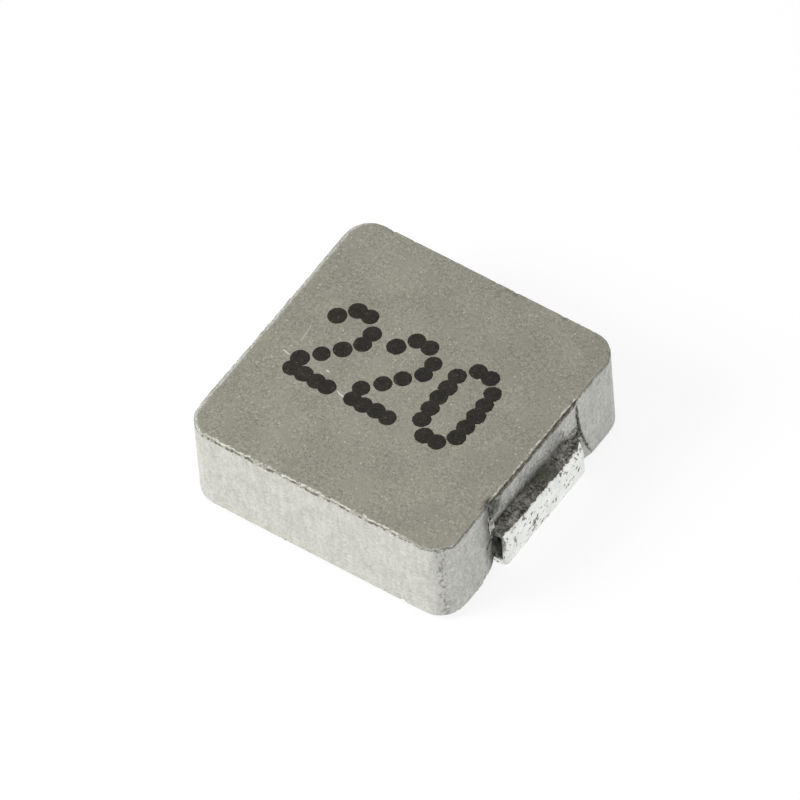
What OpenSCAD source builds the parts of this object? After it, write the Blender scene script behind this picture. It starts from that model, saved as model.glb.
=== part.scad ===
// Moulded power inductor for surface mounting. A two-deck coil of round enamelled wire is
// pressed into a square block of alloy powder. Each lead is flattened and welded to a strip
// that leaves the block at one end, folds down over it and under it, and is a solder pad.
// The origin is midway between the two pads, on the board. +X runs from the left strip to
// the right one, and +Z is up. Lengths are in millimetres.

/* [Core block] */
// Length of the block, along the line between the two strips
core_l = 5.2; // [4.8:0.1:6.4]
// Width of the block
core_w = 5.2; // [4.8:0.1:6.4]
// Height of the block
core_h = 1.8; // [1.6:0.05:2.8]
// Radius of the four upright corners
corner_r = 0.47; // [0.2:0.01:0.8]
// Bevel that the punches leave around the top and bottom faces
punch_bevel = 0.02; // [0.01:0.01:0.08]

/* [End pockets] */
// Smallest clearance between the strip's edges and the side walls of its pocket
pocket_side_gap = 0.08; // [0.04:0.01:0.2]
// Height of the lip that closes the pocket under the top face
lip_h = 0.16; // [0.08:0.01:0.3]
// Depth of the pocket just below the lip
lip_depth = 0.03; // [0.01:0.01:0.1]
// Depth of the pocket where the strip comes out
pocket_depth = 0.18; // [0.12:0.01:0.26]
// Depth of the pocket at the foot of the block
foot_depth = 0.1; // [0.05:0.01:0.26]
// Distance that each side wall of the pocket flares outwards at the foot of the block
flare_w = 0.32; // [0.05:0.01:0.4]
// Depth of that flare, from the end of the block
flare_depth = 0.09; // [0.03:0.01:0.11]
// Space between the pad and the block's recess, at the pad's inner edge
pad_end_gap = 0.06; // [0.02:0.01:0.15]

/* [Terminal strips] */
// Thickness of the strip
strip_t = 0.14; // [0.1:0.01:0.2]
// Width of the strip
strip_w = 2.25; // [1.85:0.05:2.4]
// Sideways offset of both strips, from the seat of the lead frame in its die
strip_shift = 0.075; // [0:0.005:0.15]
// Height of the strip's upper side above the block's underside, where it comes out
ledge_h = 0.745; // [0.6:0.005:0.9]
// Distance that the strip's outer face stands out past the block's end
stand_out = 0.135; // [0.05:0.005:0.2]
// Inner radius of the upper fold
ledge_fold_r = 0.04; // [0.02:0.01:0.1]
// Inner radius of the lower fold
foot_fold_r = 0.06; // [0.02:0.01:0.1]
// Length of the solder pad, measured from the strip's outer face
pad_l = 1.15; // [0.9:0.05:1.4]
// Height of the block's underside above the board
pad_drop = 0.12; // [0.02:0.01:0.14]
// Length of strip held inside the block, from the pocket's back wall
tab_reach = 0.62; // [0.5:0.02:0.64]
// Powder left between the coil and the hollow edge of the strip's tab
tab_gap = 0.12; // [0.08:0.01:0.2]

/* [Coil] */
// Diameter of the enamelled wire
wire_d = 0.32; // [0.24:0.01:0.34]
// Whole turns in each of the two decks
whole_turns = 2; // [1:1:2]
// Space between neighbouring turns, and between the decks
turn_gap = 0.02; // [0.01:0.01:0.05]
// Powder left between the coil and the nearest wall of the block
coil_wall = 0.7; // [0.6:0.05:1.0]
// Half of the angle over which the innermost turn climbs from deck to deck
climb_angle = 35; // [30:1:50]
// Width of the flattened lead on its tab
lead_flat_w = 0.48; // [0.4:0.02:0.5]
// Distance from the flattened lead's edge to the tab's edge
lead_edge_gap = 0.15; // [0.05:0.01:0.3]
// Distance from the lead's tip to the pocket's back wall
lead_tip_gap = 0.22; // [0.2:0.01:0.3]
// Length of the bend that brings each lead to the height of its tab
lead_step_l = 0.6; // [0.5:0.02:0.7]
// Length over which the lead goes from round to flat
lead_press_l = 0.2; // [0.1:0.02:0.3]

/* [Fit] */
// Clearance between the powder and what it is pressed around
mould_gap = 0.01; // [0.005:0.005:0.02]

/* [Hidden] */
$fn = 64;
past = 1;             // how far a cutting shape runs past the face that it cuts
ring_sides = 12;      // facets around the wire
turn_step = 10;       // degrees between the rings along a turn
lead_steps = 14;      // rings along each lead
flat_power = 0.5;     // squareness of the flattened lead, where 1 is an ellipse
flat_fill = 3.7;      // area of the flattened lead over the product of its half sizes
flare_steps = 6;      // straight stretches that make up the curve of the flare

// Block
end_x = core_l / 2;
block_top = pad_drop + core_h;
pocket_x = end_x - pocket_depth;
pocket_half = strip_w / 2 + strip_shift + pocket_side_gap;
lip_z = block_top - lip_h;

// Strips
face_x = end_x + stand_out;
ledge_z = pad_drop + ledge_h;
tab_in_x = pocket_x - tab_reach;
pad_in_x = face_x - pad_l;

// Coil
wire_r = wire_d / 2;
turn_pitch = wire_d + turn_gap;
coil_z = ledge_z + turn_pitch / 2;
coil_r = min(core_l, core_w) / 2 - coil_wall;
outer_r = coil_r - wire_r;
tab_r = coil_r + tab_gap;

// Leads: each runs straight from the tangent point on the outer turn to its tip on the tab
flat_r = lead_flat_w / 2;
flat_h = PI * pow(wire_r, 2) / (flat_fill * flat_r);
tip = [pocket_x - lead_tip_gap, strip_shift - strip_w / 2 + lead_edge_gap + flat_r];
leave_angle = atan2(tip.y, tip.x) - acos(outer_r / norm(tip));
leave = outer_r * [cos(leave_angle), sin(leave_angle)];
lead_l = norm(tip - leave);
lead_dir = (tip - leave) / lead_l;
lead_step = lead_l / lead_steps;
landing = (tab_in_x - leave.x - wire_r * lead_dir.y) / lead_dir.x;

// Turns: angles are counted from the middle of the climb, on the +Y side
last_turn = leave_angle - 90 + 360 * (whole_turns + 1);
inner_r = outer_r - turn_pitch * (last_turn - climb_angle) / 360;
post_r = inner_r - wire_r - mould_gap;

function smooth(t) = let (c = min(1, max(0, t))) c * c * (3 - 2 * c);
function unit(v) = v / norm(v);
function blend(a, b, t) = a + (b - a) * t;

// Wire along the turns
function spiral_r(turn) = inner_r + turn_pitch * max(0, abs(turn) - climb_angle) / 360;
function climb(turn) = turn_pitch * (smooth((turn / climb_angle + 1) / 2) - 0.5);
function turn_point(turn) =
    [spiral_r(turn) * cos(90 + turn), spiral_r(turn) * sin(90 + turn), coil_z + climb(turn)];

// Wire along a lead, by its distance from the tangent point; deck is 1 above and -1 below
function lead_pressed(run) = smooth((run - landing) / lead_press_l);
function lead_stepped(run) = smooth((run - landing) / lead_step_l + 1);
function lead_half_h(run) = blend(wire_r, flat_h, lead_pressed(run));
function section_power(pressed) = blend(1, flat_power, pressed);
function lead_foot(run) =
    lead_half_h(run) * pow(cos(180 / ring_sides), section_power(lead_pressed(run)));
function lead_z(deck, run) =
    let (deck_foot = coil_z + deck * turn_pitch / 2 - lead_foot(0))
    blend(deck_foot, ledge_z, lead_stepped(run)) + lead_foot(run);
function lead_point(deck, run) =
    let (flat_point = leave + run * lead_dir)
    [deck * flat_point.x, flat_point.y, lead_z(deck, run)];

// One ring of the wire's skin, square to the way the wire runs
function squared(v, power) = sign(v) * pow(abs(v), power);
function ring(at, ahead, pressed) =
    let (side = unit(cross(ahead, [0, 0, 1])),
         up = unit(cross(side, ahead)),
         half_w = blend(wire_r, flat_r, pressed),
         half_h = blend(wire_r, flat_h, pressed),
         power = section_power(pressed))
    [for (i = [0:ring_sides - 1])
        let (a = (i + 0.5) * 360 / ring_sides)
        at + side * half_w * squared(cos(a), power) + up * half_h * squared(sin(a), power)];

// Right strip's plan inside the block, with the edge beside the coil hollowed to its curve
module tab_plan(grow) {
    difference() {
        translate([tab_in_x - grow, strip_shift - strip_w / 2 - grow])
            square([tab_reach + past, strip_w + 2 * grow]);
        circle(r = tab_r - grow);
    }
}

module quarter_fold(inner_r) {
    intersection() {
        difference() {
            circle(r = inner_r + strip_t);
            circle(r = inner_r);
        }
        square(inner_r + strip_t);
    }
}

// Side view of the right strip: tab, upper fold, upright, lower fold and pad
module strip_profile() {
    ledge_bend = ledge_fold_r + strip_t;
    foot_bend = foot_fold_r + strip_t;
    translate([tab_in_x, ledge_z - strip_t])
        square([face_x - ledge_bend - tab_in_x, strip_t]);
    translate([face_x - ledge_bend, ledge_z - ledge_bend])
        quarter_fold(ledge_fold_r);
    translate([face_x - strip_t, foot_bend])
        square([strip_t, ledge_z - ledge_bend - foot_bend]);
    translate([face_x - foot_bend, foot_bend])
        mirror([0, 1]) quarter_fold(foot_fold_r);
    translate([pad_in_x, 0])
        square([pad_l - foot_bend, strip_t]);
}

module strip() {
    difference() {
        translate([0, strip_shift, 0])
            rotate([90, 0, 0])
                linear_extrude(height = strip_w, center = true)
                    strip_profile();
        translate([0, 0, (ledge_z + strip_t) / 2])
            cylinder(r = tab_r, h = ledge_z);
    }
}

// Section of the block across a pair of opposite walls
module wall_section(width) {
    half = width / 2;
    polygon([
        [-half, punch_bevel], [punch_bevel - half, 0], [half - punch_bevel, 0],
        [half, punch_bevel], [half, core_h - punch_bevel], [half - punch_bevel, core_h],
        [punch_bevel - half, core_h], [-half, core_h - punch_bevel]
    ]);
}

module corner_post() {
    rotate_extrude()
        polygon([
            [0, 0], [corner_r - punch_bevel, 0], [corner_r, punch_bevel],
            [corner_r, core_h - punch_bevel], [corner_r - punch_bevel, core_h], [0, core_h]
        ]);
}

module block() {
    translate([0, 0, pad_drop]) {
        rotate([90, 0, 0])
            linear_extrude(height = core_w - 2 * corner_r, center = true)
                wall_section(core_l);
        rotate([90, 0, 90])
            linear_extrude(height = core_l - 2 * corner_r, center = true)
                wall_section(core_w);
        for (x = [-1, 1], y = [-1, 1])
            translate([x * (core_l / 2 - corner_r), y * (core_w / 2 - corner_r), 0])
                corner_post();
    }
}

// Pocket at the right end. Its side walls flare at the mouth, and more so towards the foot
module pocket() {
    widest = pocket_half + flare_w;
    intersection() {
        rotate([90, 0, 0])
            linear_extrude(height = 2 * widest, center = true)
                polygon([
                    [face_x + past, lip_z], [end_x - lip_depth, lip_z], [pocket_x, ledge_z],
                    [pocket_x, ledge_z - strip_t], [end_x - foot_depth, pad_drop],
                    [end_x - foot_depth, -past], [face_x + past, -past]
                ]);
        translate([0, 0, -past])
            linear_extrude(height = block_top + past)
                polygon([
                    [0, -pocket_half], [end_x - flare_depth, -pocket_half], [end_x, -widest],
                    [face_x + past, -widest], [face_x + past, widest], [end_x, widest],
                    [end_x - flare_depth, pocket_half], [0, pocket_half]
                ]);
        rotate([90, 0, 90])
            linear_extrude(height = face_x + past)
                polygon(concat(flared_edge(-1), [[-widest, -past], [widest, -past]], flared_edge(1)));
    }
}

// One edge of the pocket's mouth, from the lip to the foot for side -1 and back for side 1
function flared_edge(side) = [
    for (i = [0:flare_steps])
        let (drop = (side < 0 ? i : flare_steps - i) / flare_steps)
        [side * (pocket_half + flare_w * pow(drop, 2)), blend(lip_z, pad_drop, drop)]
];

// Room at the right end: the pocket, the recess for the pad and the slot for the tab
module end_room() {
    pocket();
    translate([pad_in_x - pad_end_gap, -pocket_half, -past])
        cube([pad_l + pad_end_gap + past, 2 * pocket_half, past + strip_t + mould_gap]);
    translate([0, 0, ledge_z - strip_t - mould_gap])
        linear_extrude(height = strip_t + 2 * mould_gap)
            tab_plan(mould_gap);
}

// Room for one deck of turns, with a step where its lead leaves. It laps into the other deck's
module deck_room() {
    translate([0, 0, -turn_gap])
        linear_extrude(height = turn_gap + turn_pitch / 2 + wire_r + mould_gap)
            difference() {
                polygon([
                    for (i = [0:360 / turn_step])
                        let (turn = last_turn - i * turn_step, r = spiral_r(turn) + wire_r + mould_gap)
                        r * [cos(90 + turn), sin(90 + turn)]
                ]);
                circle(r = post_r);
            }
}

// Room for one lead, following its upper outline out and its lower outline back
function lead_outline(deck, run, side) =
    let (rise = lead_z(deck, run + lead_step) - lead_z(deck, run - lead_step),
         square_off = unit([-rise, 2 * lead_step]))
    [run, lead_z(deck, run)] + side * (lead_half_h(run) + mould_gap) * square_off;

module lead_room(deck) {
    upper = [for (i = [-1:lead_steps + 1]) lead_outline(deck, i * lead_step, 1)];
    lower = [for (i = [lead_steps + 1:-1:-1]) lead_outline(deck, i * lead_step, -1)];
    translate([leave.x, leave.y, 0])
        rotate([90, 0, leave_angle + 90])
            linear_extrude(height = lead_flat_w + 2 * mould_gap, center = true)
                polygon(concat(upper, lower));
}

module pressed_core() {
    color([0.6, 0.59, 0.54])
        difference() {
            block();
            end_room();
            mirror([1, 0, 0]) end_room();
            translate([0, 0, coil_z]) {
                deck_room();
                rotate([0, 180, 0]) deck_room();
            }
            lead_room(1);
            mirror([1, 0, 0]) lead_room(-1);
        }
}

// The wire runs from the tip of the lower, left lead to the tip of the upper, right one
module wire_coil() {
    runs = [for (i = [1:lead_steps]) i * lead_step];
    turn_rings = ceil(2 * last_turn / turn_step);
    turns = [for (i = [0:turn_rings]) last_turn * (2 * i / turn_rings - 1)];
    path = concat(
        [for (i = [lead_steps - 1:-1:0]) lead_point(-1, runs[i])],
        [for (turn = turns) turn_point(turn)],
        [for (run = runs) lead_point(1, run)]
    );
    pressed = concat(
        [for (i = [lead_steps - 1:-1:0]) lead_pressed(runs[i])],
        [for (turn = turns) 0],
        [for (run = runs) lead_pressed(run)]
    );
    last = len(path) - 1;
    points = [
        for (i = [0:last])
            each ring(path[i], path[min(i + 1, last)] - path[max(i - 1, 0)], pressed[i])
    ];
    skin = [
        for (i = [0:last - 1], k = [0:ring_sides - 1])
            let (next = (k + 1) % ring_sides, near = i * ring_sides, far = near + ring_sides)
            [near + k, near + next, far + next, far + k]
    ];
    ends = [
        [for (k = [ring_sides - 1:-1:0]) k],
        [for (k = [0:ring_sides - 1]) last * ring_sides + k]
    ];
    color([0.72, 0.4, 0.2])
        polyhedron(points = points, faces = concat(skin, ends));
}

module right_terminal() {
    color([0.88, 0.89, 0.87]) strip();
}

module left_terminal() {
    color([0.88, 0.89, 0.87]) mirror([1, 0, 0]) strip();
}

pressed_core();
wire_coil();
left_terminal();
right_terminal();
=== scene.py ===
import math
import random

import bmesh
import bpy
from mathutils import Matrix, Vector, kdtree, noise


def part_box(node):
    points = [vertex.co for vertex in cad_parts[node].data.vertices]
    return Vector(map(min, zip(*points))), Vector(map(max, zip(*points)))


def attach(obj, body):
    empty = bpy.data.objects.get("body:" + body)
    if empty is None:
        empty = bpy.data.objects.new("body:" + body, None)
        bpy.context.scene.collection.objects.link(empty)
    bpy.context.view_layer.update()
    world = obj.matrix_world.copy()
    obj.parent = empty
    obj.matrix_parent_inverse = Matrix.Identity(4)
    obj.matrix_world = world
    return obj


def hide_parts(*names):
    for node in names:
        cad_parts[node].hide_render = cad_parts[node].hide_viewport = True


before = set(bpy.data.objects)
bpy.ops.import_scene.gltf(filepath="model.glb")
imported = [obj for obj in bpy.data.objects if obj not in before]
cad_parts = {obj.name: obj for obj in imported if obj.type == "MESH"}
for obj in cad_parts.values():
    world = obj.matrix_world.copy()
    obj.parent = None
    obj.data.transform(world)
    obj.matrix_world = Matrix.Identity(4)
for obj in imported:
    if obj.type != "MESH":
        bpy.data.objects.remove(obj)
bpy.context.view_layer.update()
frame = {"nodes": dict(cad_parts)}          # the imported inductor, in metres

mm = 0.001
coreLow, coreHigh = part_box("pressed_core")
stripLow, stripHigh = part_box("right_terminal")
coreMid = (coreLow + coreHigh) / 2
endX, sideY, topZ = (part / mm for part in coreHigh)      # the block's end, side and top, in mm
footZ = coreLow.z / mm
outerX, ledgeZ = stripHigh.x / mm, stripHigh.z / mm
stripNear, stripFar = stripLow.y / mm, stripHigh.y / mm
print("stage 1: frame loaded,", ", ".join(frame["nodes"]))


def clamp(value, low=0.0, high=1.0):
    return max(low, min(high, value))


def smooth(value, low, high):             # 0 at low, 1 at high, and soft at both
    share = clamp((value - low) / (high - low))
    return share * share * (3 - 2 * share)


def band(value, low, high, soft):         # 1 between low and high, 0 outside, with soft shoulders
    return smooth(value, low - soft, low + soft) * (1 - smooth(value, high - soft, high + soft))


def addObject(name, data):
    added = bpy.data.objects.new(name, data)
    bpy.context.scene.collection.objects.link(added)
    return added


# Skins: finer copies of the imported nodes. Lengths are in mm and angles in radians
refining = dict(joinWithin=1e-5, sharpAngle=math.radians(20), sampleStep=0.02,
                sweeps=9, overLength=1.4, flatAngle=0.002)


def sharpPlaces(skin, seen):              # a lookup of points along the sharp edges that show
    points = []
    for edge in skin.edges:
        if len(edge.link_faces) != 2 or edge.calc_face_angle(0) < refining["sharpAngle"]:
            continue
        start, end = (vert.co for vert in edge.verts)
        if not (seen(start / mm) and seen(end / mm)):
            continue
        count = max(2, int((end - start).length / (refining["sampleStep"] * mm)) + 1)
        points += [start.lerp(end, i / (count - 1)) for i in range(count)]
    lookup = kdtree.KDTree(len(points))
    for i, point in enumerate(points):
        lookup.insert(point, i)
    lookup.balance()
    return lookup


def dropTwins(skin):                      # slivers that the cuts left lying flat on each other
    skin.verts.index_update()
    firstOf, twins = {}, set()
    for face in skin.faces:
        corners = frozenset(vert.index for vert in face.verts)
        if corners in firstOf:
            twins |= {firstOf[corners], face}
        else:
            firstOf[corners] = face
    bmesh.ops.delete(skin, geom=[face for face in skin.faces if face in twins], context="FACES")


# The same form with short edges where there is something to see, and worn corners.
# seen and pitch take a point in mm, and pitch gives the edge length that is wanted there
def skinOf(nodeName, newName, look, seen, pitch):
    skin = bmesh.new()
    skin.from_mesh(frame["nodes"][nodeName].data)
    bmesh.ops.remove_doubles(skin, verts=skin.verts, dist=refining["joinWithin"] * mm)
    bmesh.ops.triangulate(skin, faces=skin.faces)
    sharp = sharpPlaces(skin, seen)
    longest = {}                          # by place, so that each place is looked up once
    for sweep in range(refining["sweeps"]):
        longEdges = []
        for edge in skin.edges:
            start, end = (vert.co for vert in edge.verts)
            middle = tuple((start + end) / 2)
            if middle not in longest:
                point = Vector(middle)
                wanted = pitch(point / mm, sharp.find(point)[2] / mm)
                longest[middle] = refining["overLength"] * wanted * mm
            if (start - end).length > longest[middle]:
                longEdges.append(edge)
        if not longEdges:
            break
        bmesh.ops.subdivide_edges(skin, edges=longEdges, cuts=1)
        bmesh.ops.triangulate(skin, faces=[face for face in skin.faces if len(face.verts) > 3])
        dropTwins(skin)
    flat = [edge for edge in skin.edges
            if len(edge.link_faces) == 2 and edge.calc_face_angle(1) < refining["flatAngle"]]
    bmesh.ops.beautify_fill(skin, faces=skin.faces, edges=flat, method="ANGLE")
    dropTwins(skin)
    toSharp = {vert: sharp.find(vert.co)[2] / mm for vert in skin.verts}
    worn = [vert for vert in skin.verts if toSharp[vert] < look["wornReach"]]
    for turn in range(look["wornPasses"]):
        bmesh.ops.smooth_vert(
            skin, verts=worn, factor=0.5, use_axis_x=True, use_axis_y=True, use_axis_z=True)
    skin.normal_update()
    return addObject(newName, bpy.data.meshes.new(newName)), skin, toSharp


def keepMesh(piece, skin, masks):         # masks become point attributes, which the materials read
    order = list(skin.verts)
    for face in skin.faces:
        face.smooth = True
    skin.to_mesh(piece.data)
    for name, values in masks.items():
        layer = piece.data.attributes.new(name, "FLOAT", "POINT")
        layer.data.foreach_set("value", [values[vert] for vert in order])
    skin.free()
    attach(piece, "root")


# Shader helpers: they add nodes to the tree that is being built
tree = None


def feed(socket, value):                  # a number or colour is set, and an output is linked
    if isinstance(value, (int, float, tuple)):
        socket.default_value = value
    else:
        tree.links.new(value, socket)


def calc(operation, first, second=None, clampIt=False):
    node = tree.nodes.new("ShaderNodeMath")
    node.operation = operation
    node.use_clamp = clampIt
    feed(node.inputs[0], first)
    if second is not None:
        feed(node.inputs[1], second)
    return node.outputs[0]


def plus(first, second):
    return calc("ADD", first, second)


def minus(first, second):
    return calc("SUBTRACT", first, second)


def over(first, second, clampIt=False):
    return calc("DIVIDE", first, second, clampIt)


def times(first, *others):
    for other in others:
        first = calc("MULTIPLY", first, other)
    return first


def larger(first, *others):
    for other in others:
        first = calc("MAXIMUM", first, other)
    return first


def remap(value, low, high, newLow=0.0, newHigh=1.0):
    node = tree.nodes.new("ShaderNodeMapRange")
    node.interpolation_type = "SMOOTHSTEP"
    for name, part in (("Value", value), ("From Min", low), ("From Max", high),
                       ("To Min", newLow), ("To Max", newHigh)):
        feed(node.inputs[name], part)
    return node.outputs["Result"]


def mixColour(factor, first, second):
    node = tree.nodes.new("ShaderNodeMix")
    node.data_type = "RGBA"
    for socket, value in ((0, factor), (6, first), (7, second)):
        feed(node.inputs[socket], value)
    return node.outputs[2]


def mixValue(factor, first, second):
    node = tree.nodes.new("ShaderNodeMix")
    for socket, value in ((0, factor), (2, first), (3, second)):
        feed(node.inputs[socket], value)
    return node.outputs[0]


def paint(under, mask, share, colour):    # lays a colour on by a mask, at a share of its strength
    return mixColour(times(mask, share), under, colour)


def shade(red, green, blue):              # a colour as it looks on screen, 0 to 255
    def linear(part):
        part = part / 255
        return part / 12.92 if part <= 0.04045 else ((part + 0.055) / 1.055) ** 2.4
    return (linear(red), linear(green), linear(blue), 1.0)


def noiseAt(spot, scale, detail=2.0, roughness=0.5):
    node = tree.nodes.new("ShaderNodeTexNoise")
    for name, value in (("Vector", spot), ("Scale", scale), ("Detail", detail), ("Roughness", roughness)):
        feed(node.inputs[name], value)
    return node.outputs["Fac"]


def stretched(spot, x, y, z):
    node = tree.nodes.new("ShaderNodeVectorMath")
    node.operation = "MULTIPLY"
    feed(node.inputs[0], spot)
    feed(node.inputs[1], (x, y, z))
    return node.outputs[0]


def readMask(name):
    node = tree.nodes.new("ShaderNodeAttribute")
    node.attribute_name = name
    return node.outputs["Fac"]


def newGroup(name, takes, gives):         # an input of None is a vector, and any other a number
    global tree
    tree = bpy.data.node_groups.new(name, "ShaderNodeTree")
    for label, value in takes.items():
        kind = "NodeSocketVector" if value is None else "NodeSocketFloat"
        socket = tree.interface.new_socket(name=label, in_out="INPUT", socket_type=kind)
        if value is not None:
            socket.default_value = value
    for label in gives:
        tree.interface.new_socket(name=label, in_out="OUTPUT", socket_type="NodeSocketFloat")
    return tree, tree.nodes.new("NodeGroupInput").outputs, tree.nodes.new("NodeGroupOutput").inputs


def placed(group, **values):              # grainSize=0.03 feeds the group's input Grain Size
    node = tree.nodes.new("ShaderNodeGroup")
    node.node_tree = group
    for name, value in values.items():
        label = "".join(" " + letter if letter.isupper() else letter for letter in name)
        feed(node.inputs[label[0].upper() + label[1:]], value)
    return node.outputs


def newMaterial(name):                    # gives its shader's sockets, and the place in mm
    global tree
    material = bpy.data.materials.new(name)
    material.use_nodes = True
    tree = material.node_tree
    tree.nodes.clear()
    out = tree.nodes.new("ShaderNodeOutputMaterial")
    surface = tree.nodes.new("ShaderNodeBsdfPrincipled")
    feed(out.inputs["Surface"], surface.outputs[0])
    where = tree.nodes.new("ShaderNodeTexCoord")
    return material, surface.inputs, stretched(where.outputs["Object"], 1 / mm, 1 / mm, 1 / mm)


def addBump(shader, height, strength, depth):
    node = tree.nodes.new("ShaderNodeBump")
    feed(node.inputs["Strength"], strength)
    feed(node.inputs["Distance"], depth * mm)
    feed(node.inputs["Height"], height)
    feed(shader["Normal"], node.outputs[0])


# Shared groups. Every Place is in mm, and sizes are in mm too

# Pressed grains: fine speckle, slow patches, calm spots and the odd bright flake
powderGrain, takes, gives = newGroup(
    "powderGrain",
    {"Place": None, "Grain Size": 0.03, "Patch Size": 0.8, "Patchiness": 0.3,
     "Flake Size": 0.04, "Flake Share": 0.05},
    ("Tone", "Flake", "Height"))
fineScale = over(1.0, takes["Grain Size"])
fine = noiseAt(takes["Place"], fineScale, 1.5, 0.65)
coarse = noiseAt(takes["Place"], times(fineScale, 0.38), 1.0)
patch = noiseAt(takes["Place"], over(1.0, takes["Patch Size"]), 3.0)
speckle = remap(plus(times(fine, 0.65), times(coarse, 0.35)), 0.34, 0.66)
calm = remap(noiseAt(takes["Place"], over(3.1, takes["Patch Size"]), 2.0), 0.5, 0.62, 0.0, 0.55)
speckle = mixValue(calm, speckle, 0.5)
feed(gives["Tone"], mixValue(takes["Patchiness"], speckle, remap(patch, 0.3, 0.7)))
cells = tree.nodes.new("ShaderNodeTexVoronoi")
feed(cells.inputs["Vector"], takes["Place"])
feed(cells.inputs["Scale"], over(1.0, takes["Flake Size"]))
chance = calc("FRACT", times(cells.outputs["Color"], 7.31))
chosen = calc("LESS_THAN", chance, takes["Flake Share"])
flake = times(remap(cells.outputs["Distance"], 0.46, 0.26), remap(fine, 0.42, 0.54))
feed(gives["Flake"], times(chosen, flake))
feed(gives["Height"], plus(times(fine, 0.7), times(coarse, 0.6)))

# A line or border that wanders, breaks and beads. Run is the distance across it, and a border
# that never breaks has Breaks below 0
raggedLine, takes, gives = newGroup(
    "raggedLine",
    {"Place": None, "Run": 0.0, "Start": 0.0, "End": 0.03, "Wander": 0.02, "Breaks": 0.3,
     "Softness": 0.008},
    ("Mask",))
drift = minus(noiseAt(takes["Place"], 9.0, 4.0, 0.6), 0.5)
run = plus(takes["Run"], times(drift, times(takes["Wander"], 3.0)))
rise = over(minus(run, takes["Start"]), takes["Softness"], clampIt=True)
fall = over(minus(takes["End"], run), takes["Softness"], clampIt=True)
gaps = remap(minus(noiseAt(takes["Place"], 4.0, 3.0, 0.7), takes["Breaks"]), 0.0, 0.12)
unbroken = calc("LESS_THAN", takes["Breaks"], 0.0)
beads = larger(unbroken, remap(noiseAt(takes["Place"], 16.0, 2.0), 0.4, 0.54, 0.15, 1.0))
feed(gives["Mask"], times(rise, fall, times(gaps, beads)))

# Marks drawn along one direction: Place comes in already stretched
drawMarks, takes, gives = newGroup(
    "drawMarks", {"Place": None, "Fineness": 14.0, "Contrast": 0.5}, ("Tone", "Height"))
streak = noiseAt(takes["Place"], takes["Fineness"], 3.0, 0.6)
feed(gives["Tone"], mixValue(takes["Contrast"], 0.5, remap(streak, 0.32, 0.68)))
feed(gives["Height"], streak)

# Small pits and specks, in loose clusters
pitting, takes, gives = newGroup(
    "pitting", {"Place": None, "Pit Size": 0.05, "Share": 0.12}, ("Mask", "Height"))
pitScale = over(1.0, takes["Pit Size"])
field = noiseAt(takes["Place"], times(pitScale, 0.55), 3.5, 0.62)
cluster = noiseAt(takes["Place"], times(pitScale, 0.16), 2.0)
level = plus(times(field, 0.78), times(cluster, 0.22))
pit = over(minus(level, minus(0.72, times(takes["Share"], 0.9))), 0.05, clampIt=True)
feed(gives["Mask"], pit)
feed(gives["Height"], minus(1.0, pit))

# One straight scratch: Middle and Turn place it, and Reach is half its length
scratchLine, takes, gives = newGroup(
    "scratchLine",
    {"Place": None, "Middle": None, "Turn": 0.0, "Reach": 0.1, "Width": 0.03},
    ("Mask",))
turned = tree.nodes.new("ShaderNodeVectorRotate")
turned.rotation_type = "Z_AXIS"
for name, source in (("Vector", "Place"), ("Center", "Middle"), ("Angle", "Turn")):
    feed(turned.inputs[name], takes[source])
fromMiddle = tree.nodes.new("ShaderNodeVectorMath")
fromMiddle.operation = "SUBTRACT"
feed(fromMiddle.inputs[0], turned.outputs[0])
feed(fromMiddle.inputs[1], takes["Middle"])
axes = tree.nodes.new("ShaderNodeSeparateXYZ")
feed(axes.inputs[0], fromMiddle.outputs[0])
shaky = times(minus(noiseAt(takes["Place"], 14.0), 0.5), 0.06)
alongIt = over(minus(takes["Reach"], calc("ABSOLUTE", axes.outputs["X"])), 0.03, clampIt=True)
offIt = calc("ABSOLUTE", plus(axes.outputs["Y"], shaky))
acrossIt = over(minus(times(takes["Width"], 0.5), offIt), 0.006, clampIt=True)
feed(gives["Mask"], times(alongIt, acrossIt))

# Dirty flux and powder: pale lumps in a dark bed, drawn out along the ledge, with calm patches
crustGrain, takes, gives = newGroup(
    "crustGrain",
    {"Place": None, "Lump Size": 0.12, "Calm Size": 0.4},
    ("Tone", "Calm", "Height"))
lumpScale = over(1.0, takes["Lump Size"])
lumps = noiseAt(stretched(takes["Place"], 1.0, 0.6, 1.0), lumpScale, 3.0, 0.6)
lines = noiseAt(stretched(takes["Place"], 1.6, 0.22, 1.6), lumpScale, 2.0, 0.5)
specks = noiseAt(takes["Place"], times(lumpScale, 3.0), 1.0, 0.6)
mixed = plus(times(lumps, 0.36), plus(times(lines, 0.26), times(specks, 0.38)))
calmField = noiseAt(stretched(takes["Place"], 1.0, 0.5, 1.0), over(1.0, takes["Calm Size"]), 2.0)
feed(gives["Tone"], remap(mixed, 0.37, 0.67))
feed(gives["Calm"], remap(calmField, 0.34, 0.5))
feed(gives["Height"], mixed)

# The crust lies on the strips and on the core beside them
# crust tones: the light lumps are lightened as painted light, for lamp light that the core keeps off the
# ledge
crust = dict(dark=shade(78, 77, 68), mid=shade(110, 112, 94), light=shade(222, 221, 210),
             calmShare=0.85)


def crustLook(spot):                      # its colour and its height
    parts = placed(crustGrain, place=spot)
    tone = mixColour(parts["Tone"], crust["dark"], crust["light"])
    calm = times(parts["Calm"], readMask("calmMask"))
    return paint(tone, calm, crust["calmShare"], crust["mid"]), mixValue(calm, parts["Height"], 0.5)


print("stage 2: shader groups ready")

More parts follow.
